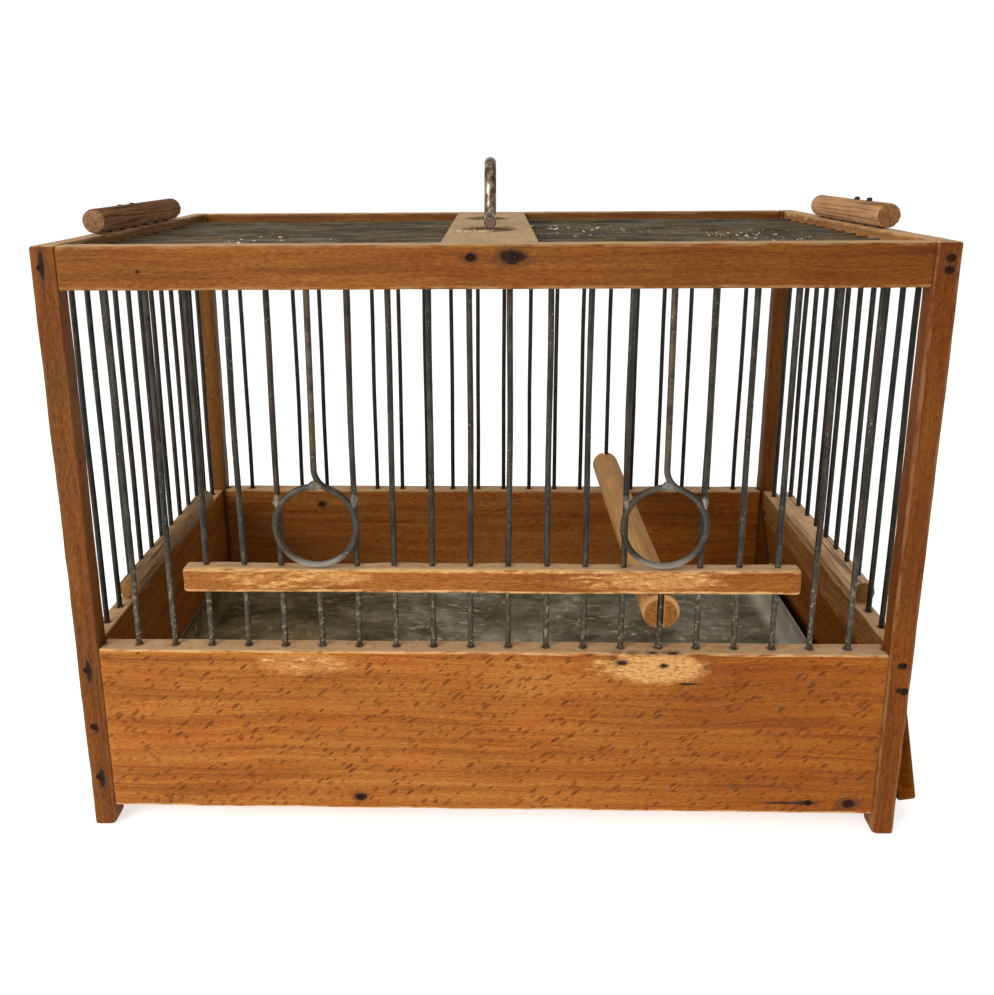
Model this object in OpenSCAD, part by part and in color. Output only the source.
// Canary breeding cage: beech frame, drilled-in wire grilles, two sliding side doors,
// a zinc tray behind a drop flap, a perch, two feed rings and a swivelling hook.
// Origin: middle of the four-post frame, on the ground. Front is -Y, up is +Z.

/* [Frame] */
// Width over the corner posts
cage_w = 312; // [304:1:330]
// Depth over the corner posts
cage_d = 202; // [198:1:220]
// Height to the top of the rails
cage_h = 226; // [216:1:250]
// Corner post, side to side
post_w = 8.8; // [8.4:0.1:10]
// Corner post, front to back
post_d = 8.6; // [8.4:0.1:10]
// Length of each foot below the boards
foot_h = 8.8; // [6:0.1:12]
// Rounding of each foot's inner bottom edge
foot_round = 3; // [1:0.5:4]
// Height of the top rails
rail_h = 15.2; // [14:0.1:17]
// Thickness of the side rails and the side board
side_t = 7; // [6.6:0.1:8]
// Height of the board tops above the ground
board_top = 76.3; // [74:0.1:80]
// Thickness of the front and back boards
board_t = 9.5; // [9:0.1:10.5]
// How far the boards stand back from the post faces
board_inset = 0.2; // [0:0.1:0.8]

/* [Wires] */
// Diameter of the grille wires
wire_d = 2.2; // [1.8:0.1:2.4]
// Number of wires across the front and the back
wire_count = 20; // [20:1:20]
// Number of wires across the roof
roof_wire_count = 13; // [11:2:13]
// Gap between the front rail and the first roof wire
roof_front_gap = 8.4; // [8.2:0.1:12]
// Gap between the rear rail and the last roof wire
roof_rear_gap = 12.6; // [8.2:0.1:14]
// Distance of the front and back wires behind the post faces
wire_setback = 5.1; // [4.6:0.1:5.6]
// Depth of the roof wires below the rail tops
roof_wire_drop = 4.4; // [4:0.1:4.8]
// Number of wires on each side, door wires among them
side_wire_count = 12; // [12:1:12]
// Gap between the front posts and the first side wire
side_front_gap = 15.4; // [14:0.1:17]
// Gap between the rear posts and the last side wire
side_rear_gap = 8.8; // [8:0.1:12]
// Depth of a wire's blind seat
seat_depth = 8; // [6:0.5:8.5]
// Depth of a roof wire's seat in a side rail
roof_seat_depth = 1.9; // [1:0.1:2]

/* [Ledge and feed rings] */
// Underside of the ledge rail that crosses the front wires
ledge_z = 99.3; // [96:0.1:104]
// Height of the ledge rail
ledge_h = 9.7; // [8:0.1:11]
// Depth of the ledge rail, front to back
ledge_d = 6.9; // [6:0.1:7.5]
// How far the ledge rail runs past its last wires
ledge_overhang = 7.9; // [4:0.1:10]
// Outer diameter of a feed ring
ring_od = 32; // [31:0.5:34]
// Wire diameter of a feed ring
ring_wire_d = 2.3; // [2:0.1:2.5]
// Radius of the bend where a ring's stem turns into the ring
ring_bend_r = 8; // [6:0.5:10]

/* [Perch] */
// Diameter of the perch
perch_d = 13.6; // [10:0.1:14]
// How much lower the back end of the perch lies
perch_fall = 2.7; // [0:0.1:3]

/* [Side doors] */
// Diameter of a door's bottom bar
door_bar_d = 9.4; // [8.6:0.1:10]
// Diameter of a door's handle
handle_d = 9.4; // [8.6:0.1:10.5]
// How far the left handle runs past its first wire
handle_left_front = 15.7; // [5:0.1:16]
// How far the left handle runs past its last wire
handle_left_rear = 12.7; // [5:0.1:16]
// How far the right handle runs past its first wire
handle_right_front = 8.3; // [5:0.1:16]
// How far the right handle runs past its last wire
handle_right_rear = 5.9; // [5:0.1:16]
// How far the left door's lower bar stands inward of its wires
door_bar_left_in = 2; // [0:0.1:2]
// How far the door wires stand out above the handles
wire_tip = 1.2; // [0.4:0.1:2]

/* [Flap and tray] */
// Thickness of the drop flap
flap_t = 7.2; // [6:0.1:7.4]
// Height of the flap's pins above the ground
flap_pin_z = 61.5; // [60:0.1:62]
// Lean of the flap at rest, away from the cage
flap_lean = 11; // [8:0.5:14]
// How far the upright flap would reach below the underside of the boards
flap_reach = 0.8; // [0:0.1:1.5]
// Height of the rail over the flap
lower_rail_h = 10.3; // [9:0.1:10.5]
// Sheet thickness of the zinc tray
tray_sheet = 0.7; // [0.5:0.1:1]
// Height of the tray's rim
tray_rim_h = 16.9; // [14:0.1:18]
// Height of the tray runners
runner_h = 7.2; // [6:0.1:8]
// Width of the tray runners
runner_w = 8; // [6:0.5:12]

/* [Roof bar and hook] */
// Width of the roof bar
bar_w = 33.2; // [30:0.1:38]
// Thickness of the roof bar
bar_t = 9; // [8:0.1:10]
// Width of each dished recess in the roof bar
dish_w = 23; // [18:0.5:25]
// Length of each dished recess
dish_l = 34; // [26:1:38]
// Depth of each dished recess
dish_depth = 1.4; // [0.8:0.1:1.5]
// Distance of the recess centres from the hook's stem
dish_offset = 37; // [34:1:42]
// Place of the hook's stem, front to back
hook_y = 7; // [6:0.5:8]
// Wire diameter of the hook
hook_d = 4.8; // [4:0.1:5.2]
// Height of the hook's top above the rails
hook_rise = 27.7; // [26:0.1:34]
// Radius of the hook's crown
hook_r = 13.5; // [12:0.5:15]
// Radius of the hook's outward flare
hook_flare_r = 8; // [6:0.5:8]
// Straight end of the flare
hook_tip = 5; // [3:0.5:7]

/* [Hidden] */

$fn = 48;
wire_fn = 24;

// Clearances: seated wires and nails, pieces that slide or turn, pieces that only rest
seat_gap = 0.05;
slide_gap = 0.3;
turn_gap = 0.1;
rest_gap = 0.3;
cut = 1;

// Planes of the frame
face_x = cage_w / 2;
face_y = cage_d / 2;
inner_x = face_x - post_w;
inner_y = face_y - post_d;
side_inner_x = face_x - side_t;
rail_z = cage_h - rail_h;
board_face_y = face_y - board_inset;
board_inner_y = board_face_y - board_t;

// Wire lines
wire_y = face_y - wire_setback;
side_wire_x = face_x - side_t / 2;
roof_wire_z = cage_h - roof_wire_drop;
ring_left_i = 6;
ring_right_i = 15;
ledge_first_i = 3;
ledge_last_i = 18;
guide_front_k = 2;
guide_rear_k = 9;
side_last_k = side_wire_count - 1;
wire_pitch = 2 * inner_x / (wire_count + 1);
roof_pitch = (2 * inner_y - roof_front_gap - roof_rear_gap) / (roof_wire_count - 1);
side_pitch = (2 * inner_y - side_front_gap - side_rear_gap) / side_last_k;
function wire_x(i) = (i - (wire_count + 1) / 2) * wire_pitch;
function side_y(k) = side_front_gap - inner_y + k * side_pitch;
function roof_y(j) = roof_front_gap - inner_y + j * roof_pitch;
function is_ring(i) = i == ring_left_i || i == ring_right_i;
FRONT_LEFT = [1 : ring_left_i - 1];
FRONT_MIDDLE = [ring_left_i + 1 : ring_right_i - 1];
FRONT_RIGHT = [ring_right_i + 1 : wire_count];
SIDE_FRONT = [0 : guide_front_k];
SIDE_REAR = [guide_rear_k : side_last_k];
DOOR_WIRES = [guide_front_k + 1 : guide_rear_k - 1];

// Ledge rail and feed rings
ledge_top = ledge_z + ledge_h;
ledge_y = wire_y + 0.5;
ring_r = (ring_od - ring_wire_d) / 2;
ring_z = ledge_top + ring_od / 2 + seat_gap;
ring_join = asin(ring_bend_r / (ring_bend_r + ring_r));
ring_bend_z = (ring_r + ring_bend_r) * cos(ring_join);
ring_end = 1;
ring_cross = sqrt(max(0, ring_r * ring_r - wire_pitch * wire_pitch));
ring_offset = (ring_wire_d + wire_d) / 2 + seat_gap;
ring_lean = atan(ring_offset / (rail_z - ring_z - ring_cross));
solder_r = 1.3;
solder_reach = ring_od / 2 + solder_r + seat_gap;
solder_z = sqrt(solder_reach * solder_reach - wire_pitch * wire_pitch);

// Perch
perch_front_z = ledge_z - rest_gap - perch_d / 2;
perch_tail = 2.9;
perch_l = 2 * (wire_y + perch_tail);
perch_tilt = atan(perch_fall / perch_l);
kerf_w = wire_d + 2 * slide_gap;
kerf_depth = perch_tail + wire_d / 2 + slide_gap;

// Side doors
door_bar_z = board_top + rest_gap + door_bar_d / 2;
door_bar_end = 8;
handle_z = cage_h + rest_gap + handle_d / 2;
door_front_y = side_y(guide_front_k + 1);
door_rear_y = side_y(guide_rear_k - 1);
wire_foot = 2.2;

// Flap and tray
lower_rail_z = board_top - lower_rail_h;
flap_x = side_inner_x + 4.8;
flap_end_gap = 0.4;
flap_bottom = foot_h - flap_reach;
pin_d = 2;
pin_l = 19;
pin_seat = pin_l - post_d - flap_end_gap + 1;
runner_top = foot_h + runner_h;
tray_z = runner_top + turn_gap;
tray_left = -side_inner_x + 0.4;
tray_right = side_inner_x + 0.4;
tray_y = board_inner_y - 1;

// Hook
hook_top = cage_h + hook_rise;
crown_z = hook_top - hook_d / 2 - hook_r;
tip_z = cage_h + hook_d / 2 + 0.4;
limb_y = hook_y - 2 * hook_r;
flare_z = tip_z + hook_flare_r;
bar_z = cage_h - bar_t;
washer_d = 12;
washer_t = 1;
head_d = 7.6;
head_t = 2.4;
washer_z = bar_z - turn_gap - washer_t;

// Nails: shank, head and length, and the heights and places where they are driven
nail_d = 1.4;
nail_head_d = 2.6;
nail_head_t = 0.6;
nail_l = 15;
NAIL_RIGHT_TOP_Z = [cage_h - 9.3, cage_h - 5.3];
NAIL_LEFT_TOP_Z = [cage_h - 7.3];
NAIL_SIDE_BOARD_Z = [21.5, 43.5, board_top - 8.8];
NAIL_LOWER_RAIL_Z = [board_top - 4.3];
NAIL_CROSS_Z = [30, 54, cage_h - 12.4];
NAIL_BAR_X = [-6.5, 8.5];
NAIL_RUNNER_X = [-50, 122.5, 137.7];
nail_bar_z = cage_h - 4.3;
nail_runner_z = foot_h + 4.8;

/* ---- shared shapes ---- */

// A straight wire that stands on z = from
module wire(from, to, d = wire_d) {
    translate([0, 0, from]) cylinder(d = d, h = to - from, $fn = wire_fn);
}

// A torus arc in the XZ plane, from one angle to the other
module bend(r, d, from, to) {
    rotate([90, 0, 0]) rotate([0, 0, from]) rotate_extrude(angle = to - from)
        translate([r, 0]) circle(d = d, $fn = wire_fn);
}

// A straight piece of wood, given by its two corners
module beam(low, high) {
    translate(low) cube(high - low);
}

// One nail driven along +Z from z = 0, or the hole for it
module nail(gap = 0) {
    translate([0, 0, -gap * cut]) cylinder(d = nail_head_d + 2 * gap, h = nail_head_t + 2 * gap, $fn = wire_fn);
    cylinder(d = nail_d + 2 * gap, h = nail_l + 2 * gap, $fn = 16);
}

// Nails through the front posts and boards, driven towards +Y
module nails_front(gap = 0) {
    for (z = NAIL_RIGHT_TOP_Z) front_nail(side_wire_x, z, face_y, gap);
    for (z = NAIL_LEFT_TOP_Z) front_nail(-side_wire_x, z, face_y, gap);
    for (z = NAIL_SIDE_BOARD_Z) front_nail(-side_wire_x, z, face_y, gap);
    for (z = NAIL_LOWER_RAIL_Z) front_nail(side_wire_x, z, face_y, gap);
    for (x = NAIL_BAR_X) front_nail(x, nail_bar_z, face_y, gap);
    for (x = NAIL_RUNNER_X) front_nail(x, nail_runner_z, board_face_y, gap);
}

module front_nail(x, z, face, gap) {
    translate([x, -face, z]) rotate([-90, 0, 0]) nail(gap);
}

// Nails through the posts into the ends of the long rails and boards
module nails_cross(gap = 0) {
    for (side = [-1, 1], z = NAIL_CROSS_Z)
        scale_side(side) translate([face_x, wire_y, z]) rotate([0, -90, 0]) nail(gap);
}

// Mirrors its children to the left side when side is -1
module scale_side(side) {
    mirror([side < 0 ? 1 : 0, 0, 0]) children();
}

// Every nail of the frame, or all their holes
module all_nails(gap = 0) {
    nails_front(gap);
    mirror([0, 1, 0]) nails_front(gap);
    nails_cross(gap);
    mirror([0, 1, 0]) nails_cross(gap);
}

// A wooden piece with its nail holes
module nailed() {
    difference() {
        children();
        all_nails(seat_gap);
    }
}

// Vertical bores for a row of front or back wires
module row_bores(list, y, from, to) {
    for (i = list) translate([wire_x(i), y, 0]) wire(from, to, wire_d + 2 * seat_gap);
}

// Vertical bores for a row of side wires
module side_bores(list, from, to, gap) {
    for (k = list) translate([0, side_y(k), 0]) wire(from, to, wire_d + 2 * gap);
}

/* ---- frame ---- */

// One corner post; the inner bottom edge of its foot is rounded
module post(side, row) {
    color("peru") nailed() difference() {
        scale_side(side) translate([inner_x, row * (face_y + inner_y) / 2, 0]) difference() {
            translate([0, -post_d / 2, 0]) cube([post_w, post_d, cage_h]);
            translate([0, -post_d / 2 - cut, 0]) difference() {
                translate([-cut, 0, -cut]) cube([foot_round + cut, post_d + 2 * cut, foot_round + cut]);
                translate([foot_round, -cut, foot_round]) rotate([-90, 0, 0])
                    cylinder(r = foot_round, h = post_d + 4 * cut);
            }
        }
        if (side > 0) pin_shapes(2 * seat_gap);
    }
}
module post_front_left() { post(-1, -1); }
module post_front_right() { post(1, -1); }
module post_rear_left() { post(-1, 1); }
module post_rear_right() { post(1, 1); }

module top_rail_front() {
    color("peru") nailed() difference() {
        beam([-inner_x, -face_y, rail_z], [inner_x, -inner_y, cage_h]);
        row_bores([for (i = [1 : wire_count]) if (!is_ring(i)) i], -wire_y, rail_z - cut, rail_z + seat_depth);
        for (i = [ring_left_i, ring_right_i]) feed_ring_wire(i, 2 * seat_gap);
    }
}
module top_rail_rear() {
    color("peru") nailed() difference() {
        beam([-inner_x, inner_y, rail_z], [inner_x, face_y, cage_h]);
        row_bores([1 : wire_count], wire_y, rail_z - cut, rail_z + seat_depth);
    }
}

// A side rail: blind seats for the fixed wires and the roof wires, clear holes for the door wires
module top_rail_side(side) {
    color("peru") nailed() scale_side(side) difference() {
        beam([side_inner_x, -inner_y, rail_z], [face_x, inner_y, cage_h]);
        translate([side_wire_x, 0, 0]) {
            side_bores(SIDE_FRONT, rail_z - cut, rail_z + seat_depth, seat_gap);
            side_bores(SIDE_REAR, rail_z - cut, rail_z + seat_depth, seat_gap);
            side_bores(DOOR_WIRES, rail_z - cut, cage_h + cut, slide_gap);
        }
        roof_wire_row(side_inner_x - cut, side_inner_x + roof_seat_depth + seat_gap, wire_d + 2 * seat_gap);
    }
}
module top_rail_left() { top_rail_side(-1); }
module top_rail_right() { top_rail_side(1); }

// The bar that carries the hook, with two long shallow dishes in its top
module roof_bar() {
    color("burlywood") nailed() difference() {
        beam([-bar_w / 2, -inner_y, bar_z], [bar_w / 2, inner_y, cage_h]);
        roof_wire_row(-bar_w / 2 - cut, bar_w / 2 + cut, wire_d + 2 * seat_gap);
        translate([0, hook_y, bar_z - cut]) cylinder(d = hook_d + 2 * turn_gap, h = bar_t + 2 * cut);
        for (way = [-1, 1]) translate([0, hook_y + way * dish_offset, cage_h]) dish();
    }
}

// The cutter of one dish: pointed oval in plan, hollowed along its length
module dish() {
    half_l = dish_l / 2;
    hollow_l = half_l + cut;
    hollow_r = (hollow_l * hollow_l + dish_depth * dish_depth) / (2 * dish_depth);
    plan_r = (half_l * half_l + dish_w * dish_w / 4) / dish_w;
    intersection() {
        translate([-dish_w, 0, hollow_r - dish_depth]) rotate([0, 90, 0])
            cylinder(r = hollow_r, h = 2 * dish_w, $fn = 240);
        for_both(plan_r - dish_w / 2) cylinder(r = plan_r, h = 4 * dish_depth, center = true, $fn = 96);
    }
}

// What two copies of its child have in common, one moved by -x and one by +x
module for_both(x) {
    intersection() {
        translate([-x, 0, 0]) children();
        translate([x, 0, 0]) children();
    }
}

module front_board() {
    color("peru") nailed() difference() {
        beam([-inner_x, -board_face_y, foot_h], [inner_x, -board_inner_y, board_top]);
        row_bores([1 : wire_count], -wire_y, board_top - seat_depth, board_top + cut);
    }
}
module back_board() {
    color("peru") nailed() difference() {
        beam([-inner_x, board_inner_y, foot_h], [inner_x, board_face_y, board_top]);
        row_bores([1 : wire_count], wire_y, board_top - seat_depth, board_top + cut);
    }
}

// Blind seats for a side's fixed wires, below the given top
module fixed_side_seats() {
    translate([side_wire_x, 0, 0]) {
        side_bores(SIDE_FRONT, board_top - seat_depth, board_top + cut, seat_gap);
        side_bores(SIDE_REAR, board_top - seat_depth, board_top + cut, seat_gap);
    }
}
module side_board_left() {
    color("sienna") nailed() scale_side(-1) difference() {
        beam([side_inner_x, -inner_y, foot_h], [face_x, inner_y, board_top]);
        fixed_side_seats();
    }
}
module lower_rail_right() {
    color("sienna") nailed() difference() {
        beam([side_inner_x, -inner_y, lower_rail_z], [face_x, inner_y, board_top]);
        fixed_side_seats();
    }
}

// The battens that carry the tray, nailed inside the long boards
module tray_runner(row) {
    color("tan") nailed() mirror([0, row > 0 ? 1 : 0, 0])
        beam([-side_inner_x, -board_inner_y, foot_h], [inner_x, -board_inner_y + runner_w, runner_top]);
}
module tray_runner_front() { tray_runner(-1); }
module tray_runner_rear() { tray_runner(1); }

module frame_nails() { color("dimgray") all_nails(); }

/* ---- wires ---- */

module row_wires(list, y, from = board_top - seat_depth + seat_gap, to = rail_z + seat_depth - seat_gap) {
    color("slategray") for (i = list) translate([wire_x(i), y, 0]) wire(from, to);
}
module front_wires_left() { row_wires(FRONT_LEFT, -wire_y); }
module front_wires_middle() { row_wires(FRONT_MIDDLE, -wire_y); }
module front_wires_right() { row_wires(FRONT_RIGHT, -wire_y); }
module back_wires() { row_wires([1 : wire_count], wire_y); }

module side_wires(side, list) {
    color("slategray") for (k = list) translate([side * side_wire_x, side_y(k), 0])
        wire(board_top - seat_depth + seat_gap, rail_z + seat_depth - seat_gap);
}
module side_wires_left_front() { side_wires(-1, SIDE_FRONT); }
module side_wires_left_rear() { side_wires(-1, SIDE_REAR); }
module side_wires_right_front() { side_wires(1, SIDE_FRONT); }
module side_wires_right_rear() { side_wires(1, SIDE_REAR); }

module roof_wire_row(from, to, d = wire_d) {
    for (j = [0 : roof_wire_count - 1]) translate([from, roof_y(j), roof_wire_z]) rotate([0, 90, 0])
        cylinder(d = d, h = to - from, $fn = wire_fn);
}
module roof_wires() {
    reach = side_inner_x + roof_seat_depth - seat_gap;
    color("slategray") roof_wire_row(-reach, reach);
}

/* ---- ledge rail and feed rings ---- */

module ledge_rail() {
    color("peru") difference() {
        beam([wire_x(ledge_first_i) - ledge_overhang, -ledge_y - ledge_d / 2, ledge_z],
             [wire_x(ledge_last_i) + ledge_overhang, -ledge_y + ledge_d / 2, ledge_top]);
        row_bores([for (i = [ledge_first_i : ledge_last_i]) if (!is_ring(i)) i], -wire_y, ledge_z - cut, ledge_top + cut);
        row_bores([ring_left_i, ring_right_i], -wire_y, ledge_z - cut, ledge_z + ledge_h / 2);
    }
}

// Short wires that go on below the rings, from the ledge rail into the front board
module stub_wire_left() { stub_wire(ring_left_i); }
module stub_wire_right() { stub_wire(ring_right_i); }
module stub_wire(i) { row_wires([i], -wire_y, to = ledge_z + ledge_h / 2 - seat_gap); }

// One wire: down from the top rail, a bend, and once round; it leans out in front of its neighbours
module feed_ring_wire(i, gap = 0) {
    d = ring_wire_d + gap;
    stem = rail_z - ring_z + seat_depth - seat_gap + gap / 2;
    translate([wire_x(i), -wire_y, rail_z]) rotate([-ring_lean, 0, 0]) translate([0, 0, ring_z - rail_z]) {
        wire(ring_bend_z, stem, d);
        translate([ring_bend_r, 0, ring_bend_z]) bend(ring_bend_r, d, 180, 270 - ring_join);
        bend(ring_r, d, 90 + ring_end, 450 - ring_join);
    }
}
module feed_ring_left() { color("gray") feed_ring_wire(ring_left_i); }
module feed_ring_right() { color("gray") feed_ring_wire(ring_right_i); }

// Beads of solder in the notches where a ring meets the wires on both sides of it
module ring_solder(i) {
    color("silver") for (side = [-1, 1])
        translate([wire_x(i + side), -wire_y - wire_d / 2 - solder_r - seat_gap, ring_z + solder_z])
            sphere(r = solder_r, $fn = 32);
}
module ring_solder_left() { ring_solder(ring_left_i); }
module ring_solder_right() { ring_solder(ring_right_i); }

/* ---- perch ---- */

// A dowel with a saw kerf in each end; the kerfs straddle a front and a back wire
module perch() {
    color("burlywood") translate([wire_x(ring_right_i), 0, 0]) difference() {
        translate([0, -perch_l / 2, perch_front_z]) rotate([-90 - perch_tilt, 0, 0])
            cylinder(d = perch_d, h = perch_l / cos(perch_tilt));
        for (row = [-1, 1]) translate([-kerf_w / 2, row > 0 ? perch_l / 2 - kerf_depth : -perch_l / 2 - cut, 0])
            translate([0, 0, perch_front_z - perch_d]) cube([kerf_w, kerf_depth + cut, 2 * perch_d]);
    }
}

/* ---- side doors ---- */

// The bar at the foot of a door: seats for the door wires, clear holes for the guide wires
module door_bar(side, inward) {
    front = side_y(guide_front_k) - door_bar_end;
    rear = side_y(guide_rear_k) + door_bar_end;
    color("sandybrown") translate([side * side_wire_x, 0, 0]) difference() {
        translate([-side * inward, front, door_bar_z]) rotate([-90, 0, 0]) cylinder(d = door_bar_d, h = rear - front);
        side_bores(DOOR_WIRES, door_bar_z - door_bar_d / 2 + wire_foot, door_bar_z + door_bar_d, seat_gap);
        side_bores([guide_front_k, guide_rear_k], door_bar_z - door_bar_d, door_bar_z + door_bar_d, slide_gap);
    }
}
module door_bar_left() { door_bar(-1, door_bar_left_in); }
module door_bar_right() { door_bar(1, 0); }

module door_wires(side) {
    color("slategray") for (k = DOOR_WIRES) translate([side * side_wire_x, side_y(k), 0])
        wire(door_bar_z - door_bar_d / 2 + wire_foot + seat_gap, handle_z + handle_d / 2 + wire_tip);
}
module door_wires_left() { door_wires(-1); }
module door_wires_right() { door_wires(1); }

// A handle on the roof: the door wires run up through it
module door_handle(side, front_end, rear_end, tint) {
    color(tint) translate([side * side_wire_x, 0, 0]) difference() {
        translate([0, door_front_y - front_end, handle_z]) rotate([-90, 0, 0])
            cylinder(d = handle_d, h = door_rear_y - door_front_y + front_end + rear_end);
        side_bores(DOOR_WIRES, handle_z - handle_d, handle_z + handle_d, seat_gap);
    }
}
module door_handle_left() { door_handle(-1, handle_left_front, handle_left_rear, "saddlebrown"); }
module door_handle_right() { door_handle(1, handle_right_front, handle_right_rear, "tan"); }

/* ---- flap and tray ---- */

// The two nails that the flap turns on, through the right-hand posts, or the holes for them
module pin_shapes(gap = 0) {
    for (row = [0, 1]) mirror([0, row, 0]) translate([flap_x, -face_y, flap_pin_z]) rotate([-90, 0, 0]) {
        translate([0, 0, -gap * cut]) cylinder(d = nail_head_d + 0.4 + gap, h = nail_head_t + gap, $fn = wire_fn);
        cylinder(d = pin_d + gap, h = pin_l + gap, $fn = wire_fn);
    }
}
module flap_pins() { color("dimgray") pin_shapes(); }

// The flap, round along its top edge so that it swings under the rail
module tray_flap() {
    end = inner_y - flap_end_gap;
    color("goldenrod") translate([flap_x, 0, flap_pin_z]) rotate([0, -flap_lean, 0]) difference() {
        translate([0, end, 0]) rotate([90, 0, 0]) linear_extrude(2 * end) {
            translate([-flap_t / 2, flap_bottom - flap_pin_z]) square([flap_t, flap_pin_z - flap_bottom]);
            circle(d = flap_t);
        }
        for (row = [0, 1]) mirror([0, row, 0]) translate([0, -end - cut, 0]) rotate([-90, 0, 0])
            cylinder(d = pin_d + 2 * turn_gap, h = pin_seat + cut, $fn = wire_fn);
    }
}

// A folded pan, open at the top
module zinc_tray() {
    color("lightslategray") difference() {
        beam([tray_left, -tray_y, tray_z], [tray_right, tray_y, tray_z + tray_rim_h]);
        beam([tray_left + tray_sheet, -tray_y + tray_sheet, tray_z + tray_sheet],
             [tray_right - tray_sheet, tray_y - tray_sheet, tray_z + tray_rim_h + cut]);
    }
}

/* ---- hook ---- */

// One thick wire: headed below the bar, up through it, over the crown, down and out to its tip
module hook() {
    color("darkgray") {
        translate([0, hook_y, 0]) {
            wire(washer_z, crown_z, hook_d);
            translate([0, 0, washer_z - head_t]) cylinder(d = head_d, h = head_t);
        }
        translate([0, hook_y - hook_r, crown_z]) rotate([0, 0, 90]) bend(hook_r, hook_d, 0, 180);
        translate([0, limb_y, 0]) wire(flare_z, crown_z, hook_d);
        translate([0, limb_y - hook_flare_r, flare_z]) rotate([0, 0, 90]) bend(hook_flare_r, hook_d, -90, 0);
        translate([0, limb_y - hook_flare_r - hook_tip, tip_z]) rotate([-90, 0, 0])
            cylinder(d = hook_d, h = hook_tip, $fn = wire_fn);
    }
}
module hook_washer() {
    color("gray") translate([0, hook_y, washer_z]) difference() {
        cylinder(d = washer_d, h = washer_t);
        translate([0, 0, -cut]) cylinder(d = hook_d + 2 * turn_gap, h = washer_t + 2 * cut);
    }
}

post_front_left();
post_front_right();
post_rear_left();
post_rear_right();
top_rail_front();
top_rail_rear();
top_rail_left();
top_rail_right();
roof_bar();
front_board();
back_board();
side_board_left();
lower_rail_right();
tray_runner_front();
tray_runner_rear();
frame_nails();
front_wires_left();
front_wires_middle();
front_wires_right();
back_wires();
side_wires_left_front();
side_wires_left_rear();
side_wires_right_front();
side_wires_right_rear();
roof_wires();
ledge_rail();
stub_wire_left();
stub_wire_right();
feed_ring_left();
feed_ring_right();
ring_solder_left();
ring_solder_right();
perch();
door_bar_left();
door_wires_left();
door_handle_left();
door_bar_right();
door_wires_right();
door_handle_right();
tray_flap();
flap_pins();
zinc_tray();
hook();
hook_washer();
